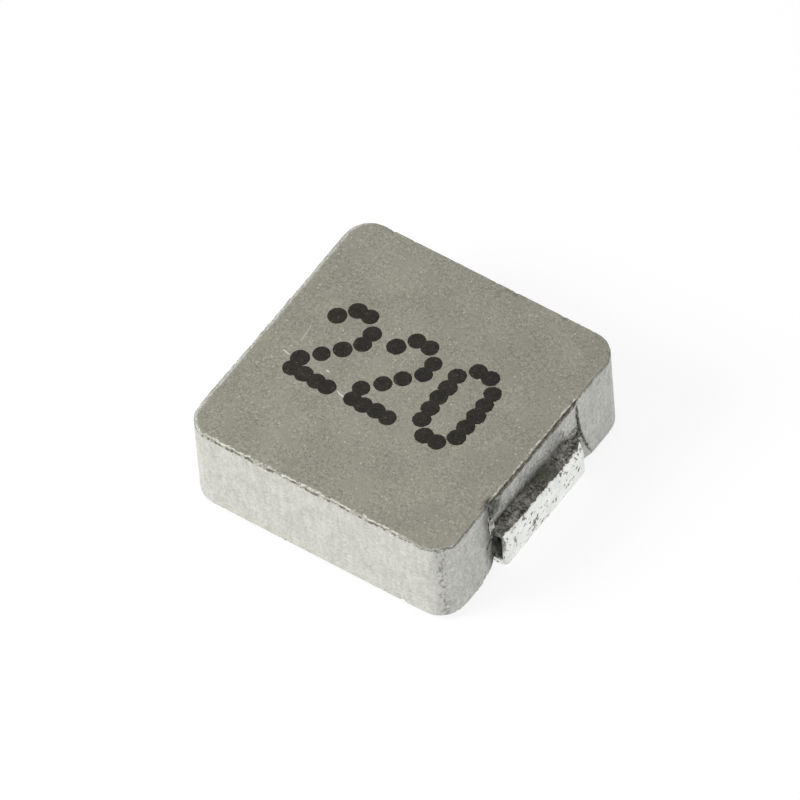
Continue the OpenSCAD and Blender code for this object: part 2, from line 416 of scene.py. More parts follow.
# Pressed core. Lengths are in mm, and places count from the block's own faces
core = dict(
    # wanted length of edges: at the rim, at other corners, in the pockets, elsewhere and unseen
    rimLength=0.028, edgeLength=0.045, pocketLength=0.05, openLength=0.4, hiddenLength=1.0,
    rimBand=0.25, shortWithin=0.04, lengthGrowth=0.55, wornReach=0.03, wornPasses=1,
    # the coil's room, which nothing shows: how far it stays from the end, side, foot and top
    roomEnd=0.35, roomSide=0.2, roomFoot=0.13, roomTop=0.17,
    cornerRadius=0.47, seamAt=0.35, steep=0.8,
    # end pockets
    pocketReach=0.3, pocketGap=0.08, pocketMargin=0.24, besidePocket=0.3, mouthDepth=0.15,
    lipDrop=0.16, flareWidth=0.32, wallInset=0.03, pocketFade=(0.02, 0.1),
    lipSpan=(0.012, 0.136), lipSoft=0.016, lipSides=(-0.06, 0.04),
    # right pocket: its near side is worn to a shoulder, and its far end is choked
    shoulderStart=1.73, shoulderEnd=1.08, shoulderDepth=0.15, shoulderFade=(0.03, 0.22),
    wallShift=0.15, wallShiftTo=-1.3, wallShiftBack=(-1.27, -0.98),
    chokeFrom=0.88, chokeInset=0.035, chokeShare=0.85,
    # chips, crumbled corner and rough walls
    chipDepth=0.035, chipSpread=5.0, chipFine=0.25, chipFineSpread=21.0,
    chipRange=(0.3, 0.85), chipBand=(0.015, 0.05), edgeShake=0.003, shakeSpread=34.0,
    crumbleReach=0.22, crumbleFade=0.15, crumbleDepth=0.05, crumbleSpread=11.0, crumbleRange=(-0.3, 0.4),
    lumpSpread=8.0, lipWear=0.022, lipWearRange=(-0.4, 0.6),
    wallRough=0.012, grooveSpread=(9.0, 9.0, 4.0), edgeDrop=0.2,
    # where the rim's burr shows, and the rim of the left end, which is bevelled
    frontBand=0.5, leftBand=0.4, bandFade=0.3, frontStop=0.5, frontFade=0.5, leftShift=0.016,
    burrAnywhere=0.15, burrLeft=0.7, burrLip=0.9, burrSides=(-0.05, 0.05),
    bevelInset=(0.04, 0.1), bevelDrop=0.05, scuffFrom=0.3, scuffTo=0.12,
    # painted shade: up the pocket's back wall from its foot, on its side walls and shoulder, in its near
    # end and at its broken corner
    creep=0.4, shadeRiseMore=0.2, shadeRiseSpan=(-0.35, 0.5), shadeRiseSoft=0.25, creepEnd=(0.25, 0.75),
    wallSoot=0.75, pocketShadeFrom=(0.05, 0.15), sideSoot=0.6, sideWallShadeFrom=-0.1,
    sootFrom=1.6, sootRun=0.5, sootLean=0.15, sootDrop=(0.08, 0.3), besideStrip=0.12,
    foulSpan=0.48, foulFade=0.14, foulDrop=(0.6, 0.8), foulSoot=0.66,
    cornerShadeInset=0.02, stainAt=-1.27, cornerShadeReach=0.14, cornerShadeFade=0.1, cornerShadeLong=1.3, cornerShadeStrength=0.62,
    heapLow=0.03, heapHigh=0.32, heapFrom=0.7, heapDeep=0.1, crustHeight=0.03, crustFade=(-0.03, 0.05),
    # finish of the top, the walls and the pockets
    topGrain=dict(grainSize=0.022, patchSize=0.9, patchiness=0.2, flakeSize=0.055, flakeShare=0.11),
    wallGrain=dict(grainSize=0.034, patchSize=0.22, patchiness=0.28, flakeShare=0.1),
    scuffGrain=dict(grainSize=0.034, patchSize=0.5, patchiness=0.25, flakeSize=0.06, flakeShare=0.05),
    wallMarks=dict(fineness=10.0, contrast=0.7), pocketMarks=dict(fineness=9.0, contrast=0.9),
    wallSpecks=dict(pitSize=0.06, share=0.08), pocketSpecks=dict(pitSize=0.024, share=0.25),
    crack=dict(start=-0.075, end=-0.002, wander=0.036, breaks=0.29, softness=0.016),
    burrLine=dict(start=-0.002, end=0.05, wander=0.036, breaks=0.3, softness=0.014),
    seamLine=dict(start=-0.02, end=0.02, wander=0.03, breaks=0.47, softness=0.02),
    mouthLine=dict(start=-0.022, end=0.016, wander=0.016, breaks=0.3, softness=0.014),
    heapEdge=dict(start=0.0, end=9.0, wander=0.07, breaks=-1.0, softness=0.02),
    # blotches, fray, streaks, mottle and wear: a noise, and the span of it that counts
    lipBlotches=dict(scale=12.0, detail=4.0, roughness=0.75), blotchSpan=(0.45, 0.68),
    lipFray=dict(scale=13.0, detail=4.0, roughness=0.7), frayShare=0.9, fraySpan=(0.86, 1.12),
    shadeStreaks=dict(scale=9.0, detail=4.0, roughness=0.7), streakSpan=(0.3, 0.65, -0.3, 0.3),
    seamMottle=dict(scale=15.0, detail=3.0, roughness=0.65), mottleSpan=(0.5, 0.62), mottleReach=0.13,
    bevelWear=dict(scale=3.0, detail=4.0, roughness=0.65), bevelSpan=(0.36, 0.6, 0.15, 0.8),
    # how strongly marks show over what lies under them
    topFlakes=0.6, wallFlakes=0.4, wallDarkSpecks=0.55, wallMarkShare=0.35, scuffStrength=0.6,
    pocketDarkSpecks=0.5, pocketGrainShare=0.6, mouthStrength=0.8, mottleStrength=0.95,
    seamStrength=0.8, crackStrength=0.4, crackByBurr=0.4,
    # how far marks are drawn out along the height: below 1 is longer
    wallDrawn=0.22, scuffDrawn=0.7, pocketDrawn=0.3, speckDrawn=0.6, shadeDrawn=0.35,
    # thickness of the painted shade, where the walls begin, finish and relief
    dirtBase=0.65, shadeByMask=0.5, wallBelow=0.45,
    topRough=(0.86, 0.7), wallRoughness=(0.5, 0.36), shadeAndCrackRough=0.9, metallic=0.5, specular=0.3,
    bumpStrength=0.5, bumpDepth=0.012, wallBump=0.6, lineDepth=0.8, crustBump=1.6,
    # scratches on top: x, y, turn, half length and strength
    scratches=((-2.0, -0.45, 0.17, 0.09, 1.0), (-1.2, -0.42, 0.32, 0.05, 0.9),
               (-0.76, -0.7, 0.27, 0.1, 1.0), (-1.95, 0.05, 1.45, 0.2, 0.35)),
    topDark=shade(136, 133, 120), topLight=shade(183, 180, 166), flake=shade(214, 211, 198),
    wallDark=shade(182, 182, 174), wallLight=shade(231, 231, 223), wallSpeck=shade(128, 128, 121),
    wallFlake=shade(240, 240, 234), seamDark=shade(104, 106, 100), bevel=shade(206, 206, 202),
    # pocket tones, lightened up to white as painted light for lamp light that the right end does not get
    pocketDark=shade(174, 175, 170), pocketLight=shade(255, 255, 252), pocketSpeck=shade(92, 93, 86),
    scuffDark=shade(150, 151, 144), scuffLight=shade(226, 227, 221),
    # lip tones: the dark is partly chipping and partly painted shade under the top's edge, and the light
    # is lightened as painted light
    lipDark=shade(98, 94, 84), lipLight=shade(196, 191, 178), burr=shade(230, 227, 216),
    # colours of painted shade: the first in the pockets, the second along the right pocket's mouth
    soot=shade(52, 50, 44), stain=shade(74, 70, 62),
)
pocketX = endX - core["pocketReach"]
pocketHalf = max(-stripNear, stripFar) + core["pocketGap"]
lipZ = topZ - core["lipDrop"]


def onSkin(q):                            # the block's outside and its pockets, not the coil's room
    return not (abs(q.x) < endX - core["roomEnd"] and abs(q.y) < sideY - core["roomSide"]
                and footZ + core["roomFoot"] < q.z < topZ - core["roomTop"])


def corePitch(q, toSharp):
    if not onSkin(q):
        return core["hiddenLength"]
    short = core["rimLength"] if q.z > topZ - core["rimBand"] else core["edgeLength"]
    long = core["openLength"]
    if abs(q.y) < pocketHalf + core["pocketMargin"] and abs(q.x) > pocketX and q.z < lipZ + 0.02:
        short, long = core["rimLength"], core["pocketLength"]
    growth = core["lengthGrowth"] * max(0.0, toSharp - core["shortWithin"])
    return clamp(short + growth, short, long)


def outlineInset(x, y):                   # distance in from the block's plan outline
    radius = core["cornerRadius"]
    dx = abs(x) - (endX - radius)
    dy = abs(y) - (sideY - radius)
    return radius - math.hypot(max(dx, 0), max(dy, 0)) - min(max(dx, dy), 0)


def seamDistance(x, y):                   # along the outline, from the parting line on one corner
    radius = core["cornerRadius"]
    right, front = x - endX + radius, -sideY - y + radius
    if right > 0 and front > 0:
        return radius * math.atan2(right, front) - core["seamAt"]
    return -1.0 if right <= 0 else 1.0


# The right pocket's worn shoulder and its choked far end. The point is in metres, and the rest of
# the block's points come back exactly as they were, so that flat faces stay flat
def wornPocket(point):
    x, y, z = (part / mm for part in point)
    if x < pocketX:
        return point
    drop = topZ - z
    start, end = core["shoulderStart"], core["shoulderEnd"]
    fade = smooth(drop, *core["shoulderFade"])
    shift = smooth(y, -start, core["wallShiftTo"]) * (1 - smooth(y, *core["wallShiftBack"]))
    y += core["wallShift"] * shift * fade
    if y < -end + 0.03:
        sink = clamp((y + start) / (start - end)) ** 2
        x = min(x, endX - core["shoulderDepth"] * sink * fade)
    if z > ledgeZ - 0.02 and y < pocketHalf + 0.01 and drop > core["lipDrop"]:
        room = max(0.0, endX - core["chokeInset"] - x)
        x += room * core["chokeShare"] * smooth(y, core["chokeFrom"], pocketHalf - 0.02)
    return Vector((x, y, z)) * mm


def whereOn(point, facingUp):             # a point's place on the block, which the masks go by
    x, y, z = (part / mm for part in point)
    drop, across = topZ - z, abs(y) - pocketHalf          # across is below 0 between the side walls
    atEnd = abs(x) > pocketX and facingUp < core["steep"]
    shown = onSkin(point / mm)
    nearPocket = atEnd and shown and across < core["besidePocket"] and drop > core["lipDrop"] - 0.01
    return dict(inset=outlineInset(x, y), seam=seamDistance(x, y), drop=drop, above=z - ledgeZ,
                across=across, atEnd=atEnd, shown=shown, nearPocket=nearPocket,
                foot=clamp((lipZ - z) / (lipZ - footZ)),
                left=smooth(core["leftBand"] - endX - x, 0.0, core["bandFade"]))


def wearMasks(q, at):
    inset, drop, left = at["inset"], at["drop"], at["left"]
    front = (smooth(core["frontBand"] - sideY - q.y, 0.0, core["bandFade"])
             * smooth(endX - core["frontStop"] - q.x, 0.0, core["frontFade"]))
    onLip = (q.x > pocketX) * (1 - smooth(at["across"], *core["burrSides"]))
    lip = band(drop, *core["lipSpan"], core["lipSoft"]) * (1 - smooth(at["across"], *core["lipSides"]))
    inMouth = abs(q.x) > endX - core["mouthDepth"] and drop > core["lipDrop"] - 0.02
    mouth = pocketHalf + core["flareWidth"] * at["foot"] ** 2
    return dict(
        rimRun=clamp(inset - drop - core["leftShift"] * left, -1, 1),
        seamRun=clamp(at["seam"], -1, 1),
        mouthRun=q.y - mouth if inMouth else -1.0,
        burrMask=max(core["burrAnywhere"], front, core["burrLeft"] * left, core["burrLip"] * onLip),
        bevelMask=left * (1 - smooth(inset, *core["bevelInset"])) * (drop < core["bevelDrop"]),
        pocketMask=at["nearPocket"] * smooth(inset, *core["pocketFade"]),
        lipMask=lip if at["atEnd"] else 0.0,
        scuff=smooth(q.x, endX - core["scuffFrom"], endX - core["scuffTo"]))


def shadeAndCrustMasks(q, at):
    if not at["shown"]:
        return dict(grime=0.0, crustRun=-1.0)
    inset, drop, above = at["inset"], at["drop"], at["above"]
    across, nearPocket = at["across"], at["nearPocket"]
    # painted shade, darker towards the back wall's foot and rising further in its middle, and on the
    # pocket's side walls
    creep = core["creep"] + core["shadeRiseMore"] * band(q.y, *core["shadeRiseSpan"], core["shadeRiseSoft"])
    low = (1 - smooth(above, 0.02, creep)) * (1 - 0.5 * smooth(q.y, *core["creepEnd"]))
    wall = max(core["wallSoot"] * low, core["sideSoot"] * (across > core["sideWallShadeFrom"]))
    beside = smooth(core["besideStrip"] - stripNear + q.y, core["besideStrip"], 0.0)
    # painted shade on the right pocket's worn shoulder, outside the strip's near edge
    shoulderShade = ((q.x > pocketX) * (q.y < 0) * smooth(drop, *core["sootDrop"])
                * clamp((q.y + core["sootFrom"] - core["sootLean"] * at["foot"]) / core["sootRun"]))
    # painted shade in the gap at the right pocket's near end
    gapShade = (nearPocket * (across < 0.02) * (q.x > 0) * (1 - smooth(drop, *core["foulDrop"]))
              * smooth(core["foulSpan"] - pocketHalf - q.y, 0.0, core["foulFade"]))
    # painted shade at the pocket's broken corner, drawn out along the rim
    along = (q.y - core["stainAt"]) / core["cornerShadeLong"]
    fromCornerShade = math.hypot(q.x - endX + core["cornerShadeInset"], along)
    cornerShade = smooth(core["cornerShadeReach"] - fromCornerShade, 0.0, core["cornerShadeFade"]) * (drop < core["edgeDrop"])
    heap = core["heapLow"] + core["heapHigh"] * smooth(q.y, core["heapFrom"], pocketHalf)
    crusted = nearPocket and inset > core["wallInset"] and above > -core["heapDeep"]
    return dict(
        grime=max(nearPocket * smooth(inset, *core["pocketShadeFrom"]) * wall, shoulderShade * beside,
                  core["foulSoot"] * gapShade, core["cornerShadeStrength"] * cornerShade),
        crustRun=clamp(heap - above, -1, 1) if crusted else -1.0)


def corePush(q, at, values, toSharp):     # how far a point moves out of the face
    push = 0.0
    if toSharp < core["chipBand"][1]:
        chips = noise.fractal(q * core["chipSpread"], 0.8, 2.1, 4)
        chips += core["chipFine"] * noise.noise(q * core["chipFineSpread"])
        chipped = smooth(chips, *core["chipRange"]) * (1 - smooth(toSharp, *core["chipBand"]))
        fromCorner = math.hypot(q.x - endX, q.y + pocketHalf)
        crumbled = smooth(core["crumbleReach"] - fromCorner, 0.0, core["crumbleFade"])
        crumbled *= smooth(noise.noise(q * core["crumbleSpread"]), *core["crumbleRange"])
        push -= core["chipDepth"] * (1 - 0.6 * at["left"]) * chipped
        push += core["edgeShake"] * noise.noise(q * core["shakeSpread"])
        push -= core["crumbleDepth"] * crumbled * (at["drop"] < core["edgeDrop"])
    if values["crustRun"] > core["crustFade"][0]:
        lumps = 0.4 + noise.fractal(q * core["lumpSpread"], 0.7, 2.1, 4)
        push += core["crustHeight"] * lumps * smooth(values["crustRun"], *core["crustFade"])
    if values["lipMask"] > 0.2:
        wear = noise.fractal(q * core["lumpSpread"], 0.7, 2.1, 3)
        push -= core["lipWear"] * smooth(wear, *core["lipWearRange"])
    if at["nearPocket"] and at["inset"] > core["wallInset"]:
        push += core["wallRough"] * noise.fractal(q * Vector(core["grooveSpread"]), 0.9, 2.0, 3)
    return push


powderCore, skin, toSharp = skinOf("pressed_core", "powderCore", core, onSkin, corePitch)
coreMasks = {}
for vert in skin.verts:
    if onSkin(vert.co / mm):
        vert.co = wornPocket(vert.co)
    q = vert.co / mm
    at = whereOn(vert.co, abs(vert.normal.z))
    values = {**wearMasks(q, at), **shadeAndCrustMasks(q, at)}
    for name, value in values.items():
        coreMasks.setdefault(name, {})[vert] = value
    if at["shown"]:
        vert.co += vert.normal * corePush(q, at, values, toSharp[vert]) * mm
keepMesh(powderCore, skin, coreMasks)
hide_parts("pressed_core")

powder, shader, spot = newMaterial("pressedPowder")
geometry = tree.nodes.new("ShaderNodeNewGeometry")
facing = tree.nodes.new("ShaderNodeSeparateXYZ")
feed(facing.inputs[0], geometry.outputs["Normal"])
wall = remap(calc("ABSOLUTE", facing.outputs["Z"]), core["steep"], core["wallBelow"])

# Top: grain, flakes and scratches
topGrain = placed(powderGrain, place=spot, **core["topGrain"])
topColour = mixColour(topGrain["Tone"], core["topDark"], core["topLight"])
topColour = paint(topColour, topGrain["Flake"], core["topFlakes"], core["flake"])
for x, y, turn, reach, strength in core["scratches"]:
    scratch = placed(scratchLine, place=spot, middle=(x, y, 0.0), turn=turn, reach=reach)["Mask"]
    topColour = paint(topColour, scratch, strength, core["burr"])

# Walls: grain under drawn marks, and duller at the right end
wallGrain = placed(powderGrain, place=spot, **core["wallGrain"])
wallMarks = placed(drawMarks, place=stretched(spot, 1, 1, core["wallDrawn"]), **core["wallMarks"])
wallSpecks = placed(pitting, place=spot, **core["wallSpecks"])["Mask"]
scuffSpot = stretched(spot, 1, 1, core["scuffDrawn"])
scuffGrain = placed(powderGrain, place=scuffSpot, **core["scuffGrain"])
wallTone = mixValue(core["wallMarkShare"], wallGrain["Tone"], wallMarks["Tone"])
wallColour = mixColour(wallTone, core["wallDark"], core["wallLight"])
wallColour = paint(wallColour, wallSpecks, core["wallDarkSpecks"], core["wallSpeck"])
wallColour = paint(wallColour, wallGrain["Flake"], core["wallFlakes"], core["wallFlake"])
scuffColour = mixColour(scuffGrain["Tone"], core["scuffDark"], core["scuffLight"])
wallColour = paint(wallColour, readMask("scuff"), core["scuffStrength"], scuffColour)

# Pockets: upright streaks and fine specks in tones lightened as painted light, under a darker lip that is
# partly chipping and partly painted shade
pocketSpot = stretched(spot, 1, 1, core["pocketDrawn"])
pocketMarks = placed(drawMarks, place=pocketSpot, **core["pocketMarks"])
speckSpot = stretched(spot, 1, 1, core["speckDrawn"])
pocketSpecks = placed(pitting, place=speckSpot, **core["pocketSpecks"])["Mask"]
pocketTone = mixValue(core["pocketGrainShare"], pocketMarks["Tone"], scuffGrain["Tone"])
pocketColour = mixColour(pocketTone, core["pocketDark"], core["pocketLight"])
pocketColour = paint(pocketColour, pocketSpecks, core["pocketDarkSpecks"], core["pocketSpeck"])
# the lip band: partly chipping and partly painted shade under the top's edge, with its light tone as
# painted light
lipTone = remap(noiseAt(spot, **core["lipBlotches"]), *core["blotchSpan"])
lipColour = mixColour(lipTone, core["lipDark"], core["lipLight"])
lipFray = times(noiseAt(spot, **core["lipFray"]), core["frayShare"])
lip = remap(plus(readMask("lipMask"), lipFray), *core["fraySpan"])
colour = mixColour(wall, topColour, wallColour)
colour = mixColour(readMask("pocketMask"), colour, pocketColour)
colour = mixColour(lip, colour, lipColour)

# Painted shade in the pockets, drawn into streaks, and crust heaped over it
grime = readMask("grime")
shadeSpot = stretched(spot, 1, 1, core["shadeDrawn"])
streaks = remap(noiseAt(shadeSpot, **core["shadeStreaks"]), *core["streakSpan"])
thickness = plus(plus(times(grime, core["shadeByMask"]), core["dirtBase"]), streaks)
shadeAmount = calc("MULTIPLY", grime, thickness, clampIt=True)
colour = mixColour(shadeAmount, colour, core["soot"])
heap = placed(raggedLine, place=spot, run=readMask("crustRun"), **core["heapEdge"])["Mask"]
heapColour, heapHeight = crustLook(spot)
colour = mixColour(heap, colour, heapColour)

# Lines: the pocket's mouth, which is a painted line of shade, the left rim's bevel, the rim's crack and
# burr, and the parting line
rimRun, seamRun, burrMask = readMask("rimRun"), readMask("seamRun"), readMask("burrMask")
crack = placed(raggedLine, place=spot, run=rimRun, **core["crack"])["Mask"]
burr = placed(raggedLine, place=spot, run=rimRun, **core["burrLine"])["Mask"]
seam = placed(raggedLine, place=spot, run=seamRun, **core["seamLine"])["Mask"]
mouth = placed(raggedLine, place=spot, run=readMask("mouthRun"), **core["mouthLine"])["Mask"]
mottle = remap(noiseAt(spot, **core["seamMottle"]), *core["mottleSpan"])
besideSeam = times(mottle, remap(calc("ABSOLUTE", seamRun), core["mottleReach"], 0.0))
bevelWear = remap(noiseAt(spot, **core["bevelWear"]), *core["bevelSpan"])
crackShare = plus(times(burrMask, core["crackByBurr"]), core["crackStrength"])
seamMarks = larger(seam, times(besideSeam, core["mottleStrength"]))
# the mouth line is painted shade along the pocket's side wall
colour = paint(colour, mouth, core["mouthStrength"], core["stain"])
colour = paint(colour, readMask("bevelMask"), bevelWear, core["bevel"])
colour = paint(colour, crack, crackShare, core["lipDark"])
colour = paint(colour, burr, burrMask, core["burr"])
colour = paint(colour, seamMarks, times(wall, core["seamStrength"]), core["seamDark"])
feed(shader["Base Color"], colour)

topRough = mixValue(topGrain["Tone"], *core["topRough"])
rough = mixValue(wall, topRough, mixValue(wallTone, *core["wallRoughness"]))
feed(shader["Roughness"], mixValue(larger(crack, shadeAmount), rough, core["shadeAndCrackRough"]))
unmarked = calc("SUBTRACT", 1.0, larger(heap, lip, shadeAmount), clampIt=True)
feed(shader["Metallic"], times(wall, unmarked, core["metallic"]))
feed(shader["Specular IOR Level"], core["specular"])
wallHeight = times(plus(wallGrain["Height"], wallMarks["Height"]), core["wallBump"])
height = mixValue(wall, topGrain["Height"], wallHeight)
height = minus(height, times(larger(mouth, crack, seam), core["lineDepth"]))
height = mixValue(heap, height, times(heapHeight, core["crustBump"]))
addBump(shader, height, core["bumpStrength"], core["bumpDepth"])
powderCore.data.materials.append(powder)
print("stage 3: core skin,", len(powderCore.data.polygons), "faces")

# A lump of powder that stayed on the pocket's broken edge, beside the right strip
crumb = dict(size=(0.05, 0.05, 0.16), outward=-0.09, sideways=0.09, above=0.34,
             roughness=0.75, lumpScale=1.7, lumpSeed=(4, 1, 7))
skin = bmesh.new()
bmesh.ops.create_icosphere(skin, subdivisions=5, radius=1.0)
crumbMid = Vector((endX + crumb["outward"], crumb["sideways"] - pocketHalf, ledgeZ + crumb["above"]))
for vert in skin.verts:
    lumpAt = vert.co * crumb["lumpScale"] + Vector(crumb["lumpSeed"])
    lump = 1 + crumb["roughness"] * noise.fractal(lumpAt, 0.8, 2.1, 4)
    vert.co = (crumbMid + vert.co * Vector(crumb["size"]) * lump) * mm
pocketCrumb = addObject("pocketCrumb", bpy.data.meshes.new("pocketCrumb"))
noMasks = {name: dict.fromkeys(skin.verts, -1.0 if name.endswith("Run") else 0.0) for name in coreMasks}
keepMesh(pocketCrumb, skin, noMasks)
pocketCrumb.data.materials.append(powder)

# Terminal strips
strips = dict(
    edgeLength=0.026, faceLength=0.055, hiddenLength=0.4, shortWithin=0.03, lengthGrowth=0.4,
    hiddenEnd=0.24, hiddenFoot=0.08,      # how far the core hides a strip, in from its end and foot
    wornReach=0.03, wornPasses=4, rippleHeight=0.004, rippleScale=2.2,
    crustHeight=0.05, crustScale=6.0, crustDrawn=0.6, lumpBase=0.35, lumpGain=1.3, lumpTop=1.2,
    crustStop=0.055, crustDeep=0.12, tipInset=0.03, tipReach=0.16,
    tipHeap=0.06, tipHeapFrom=(0.65, 1.0), crustFade=(-0.04, 0.04), calmSpan=(-0.3, 0.56), calmFade=0.14,
    pits=dict(pitSize=0.045, share=0.17), smears=dict(pitSize=0.2, share=0.2),
    rolling=dict(fineness=9.0, contrast=0.8),
    crustEdge=dict(start=0.0, end=9.0, wander=0.04, breaks=-1.0, softness=0.012),
    rollingDrawn=0.3, rollingBump=0.4, smearDrawn=0.5,
    rough=(0.42, 0.3), pitRough=0.8, crustRough=0.9, metallic=0.85, pitMetallic=0.2, crustMetallic=0.05,
    pitStrength=0.8, smearStrength=0.35, bumpStrength=0.6, bumpDepth=0.015, crustBump=1.8,
    tinDark=shade(238, 240, 236), tinLight=shade(252, 253, 250),
    pit=shade(112, 112, 104), smear=shade(206, 208, 203),
)


def outsideBlock(q):
    return abs(q.x) > endX - strips["hiddenEnd"] or q.z < footZ + strips["hiddenFoot"]


def stripPitch(q, toSharp):
    if not outsideBlock(q):
        return strips["hiddenLength"]
    growth = strips["lengthGrowth"] * max(0.0, toSharp - strips["shortWithin"])
    return clamp(strips["edgeLength"] + growth, strips["edgeLength"], strips["faceLength"])


tin, shader, spot = newMaterial("tinPlate")
pits = placed(pitting, place=spot, **strips["pits"])
rolling = placed(drawMarks, place=stretched(spot, 1, strips["rollingDrawn"], 1), **strips["rolling"])
smearSpot = stretched(spot, 1, 1, strips["smearDrawn"])
smears = placed(pitting, place=smearSpot, **strips["smears"])["Mask"]
plate = mixColour(rolling["Tone"], strips["tinDark"], strips["tinLight"])
plate = paint(plate, pits["Mask"], strips["pitStrength"], strips["pit"])
plate = paint(plate, smears, strips["smearStrength"], strips["smear"])
crustColour, crustLumps = crustLook(spot)
cover = placed(raggedLine, place=spot, run=readMask("crustRun"), **strips["crustEdge"])["Mask"]
plateRough = mixValue(pits["Mask"], mixValue(rolling["Tone"], *strips["rough"]), strips["pitRough"])
plateMetal = mixValue(pits["Mask"], strips["metallic"], strips["pitMetallic"])
plateHeight = plus(pits["Height"], times(rolling["Height"], strips["rollingBump"]))
feed(shader["Base Color"], mixColour(cover, plate, crustColour))
feed(shader["Roughness"], mixValue(cover, plateRough, strips["crustRough"]))
feed(shader["Metallic"], mixValue(cover, plateMetal, strips["crustMetallic"]))
stripHeight = mixValue(cover, plateHeight, times(crustLumps, strips["crustBump"]))
addBump(shader, stripHeight, strips["bumpStrength"], strips["bumpDepth"])

for side, nodeName, newName in ((1, "right_terminal", "rightStrip"), (-1, "left_terminal", "leftStrip")):
    strip, skin, toSharp = skinOf(nodeName, newName, strips, outsideBlock, stripPitch)
    crustRun, calmMask = {}, {}
    for vert in skin.verts:
        q = vert.co / mm
        out = q.x * side - outerX         # below 0 on the ledge, 0 on the strip's outer face
        fromTip = min(q.y - stripNear, stripFar - q.y)
        tipInset = strips["tipInset"] * (1 - smooth(fromTip, 0.0, strips["tipReach"]))
        onLedge = q.z > ledgeZ - strips["crustDeep"] and vert.normal.z > 0.2
        crustRun[vert] = clamp(-strips["crustStop"] - out - tipInset, -1, 1) if onLedge else -1.0
        calmMask[vert] = band(q.y, *strips["calmSpan"], strips["calmFade"])
        if not outsideBlock(q):
            continue
        push = strips["rippleHeight"] * noise.fractal(q * strips["rippleScale"], 1.0, 2.0, 2)
        if crustRun[vert] > strips["crustFade"][0]:
            lumpAt = Vector((q.x, strips["crustDrawn"] * q.y, q.z)) * strips["crustScale"]
            lumps = strips["lumpBase"] + strips["lumpGain"] * noise.fractal(lumpAt, 0.7, 2.1, 4)
            lumps = clamp(lumps, 0, strips["lumpTop"])
            tipHeap = strips["tipHeap"] * smooth(q.y, *strips["tipHeapFrom"])
            heaped = strips["crustHeight"] * lumps + tipHeap
            push += heaped * smooth(crustRun[vert], *strips["crustFade"])
        vert.co = vert.co + vert.normal * push * mm
        vert.co.z = max(vert.co.z, stripLow.z)        # nothing goes under the board
    keepMesh(strip, skin, {"crustRun": crustRun, "calmMask": calmMask})
    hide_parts(nodeName)
    strip.data.materials.append(tin)
    print("stage 4:", strip.name, len(strip.data.polygons), "faces")

# Coil: hidden in the core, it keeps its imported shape
coil = dict(
    enamelDark=shade(122, 58, 26), enamelLight=shade(176, 96, 44), bare=shade(214, 150, 110),
    marks=dict(fineness=5.0, contrast=0.8), rubs=dict(pitSize=0.12, share=0.1),
    rough=(0.38, 0.26), metallic=0.6, coat=0.5, bumpStrength=0.3, bumpDepth=0.006)
enamel, shader, spot = newMaterial("wireEnamel")
marks = placed(drawMarks, place=spot, **coil["marks"])
rubs = placed(pitting, place=spot, **coil["rubs"])["Mask"]
colour = mixColour(marks["Tone"], coil["enamelDark"], coil["enamelLight"])
feed(shader["Base Color"], mixColour(rubs, colour, coil["bare"]))
feed(shader["Roughness"], mixValue(marks["Tone"], *coil["rough"]))
feed(shader["Metallic"], coil["metallic"])
feed(shader["Coat Weight"], coil["coat"])
addBump(shader, marks["Height"], coil["bumpStrength"], coil["bumpDepth"])
for materialSlot in frame["nodes"]["wire_coil"].material_slots:
    materialSlot.material = enamel

# Printed value: plain numbers in overlapping dots of ink
marking = dict(
    text="220", acrossMid=-0.174, upMid=0.094, rowStep=0.26, columnStep=0.24, glyphStep=1.2,
    dotWidth=0.333, widthRange=(0.95, 1.04), wobble=0.014, sides=40,
    rings=((1.0, -0.002), (0.93, 0.00385), (0.72, 0.0063), (0.4, 0.007)),      # share of radius, height
    swell=0.03, swellScale=1.6, fray=(0.03, 0.035, 0.08), frayScale=5.5,       # one fray for each glyph
    grain=dict(grainSize=0.035, patchSize=0.3, patchiness=0.3, flakeShare=0.08),
    rough=(0.42, 0.6), specular=0.25, toneSpan=(0.2, 0.95), flakeStrength=0.6,
    bumpStrength=0.5, bumpDepth=0.01,
    ink=shade(29, 26, 21), inkLight=shade(54, 50, 43), bare=shade(104, 101, 91),
)
glyphs = {
    "2": (".##.", "#..#", "...#", "..#.", ".#..", "#...", "####"),
    "0": (".##.", "#..#", "#..#", "#..#", "#..#", "#..#", ".##."),
}
dice = random.Random(5)
inkSkin = bmesh.new()


def addDot(x, y, radius, fray):
    phase = dice.uniform(0, 9)
    sides = marking["sides"]
    rings = []
    for share, height in marking["rings"]:
        ring = []
        for k in range(sides):
            turn = 2 * math.pi * k / sides
            way = Vector((math.cos(turn), math.sin(turn), 0))
            swell = noise.noise(way * marking["swellScale"] + Vector((phase, 0, phase)))
            fringe = noise.noise(way * marking["frayScale"] + Vector((0, phase, phase)))
            reach = radius * share * (1 + marking["swell"] * swell + fray * fringe)
            ring.append(inkSkin.verts.new(
                Vector((x + way.x * reach, y + way.y * reach, topZ + height)) * mm))
        rings.append(ring)
    middle = inkSkin.verts.new(Vector((x, y, topZ + marking["rings"][-1][1])) * mm)
    for low, high in zip(rings, rings[1:]):
        for k in range(sides):
            after = (k + 1) % sides
            inkSkin.faces.new((low[k], low[after], high[after], high[k]))
    for k in range(sides):
        inkSkin.faces.new((rings[-1][k], rings[-1][(k + 1) % sides], middle))
    inkSkin.faces.new(reversed(rings[0]))


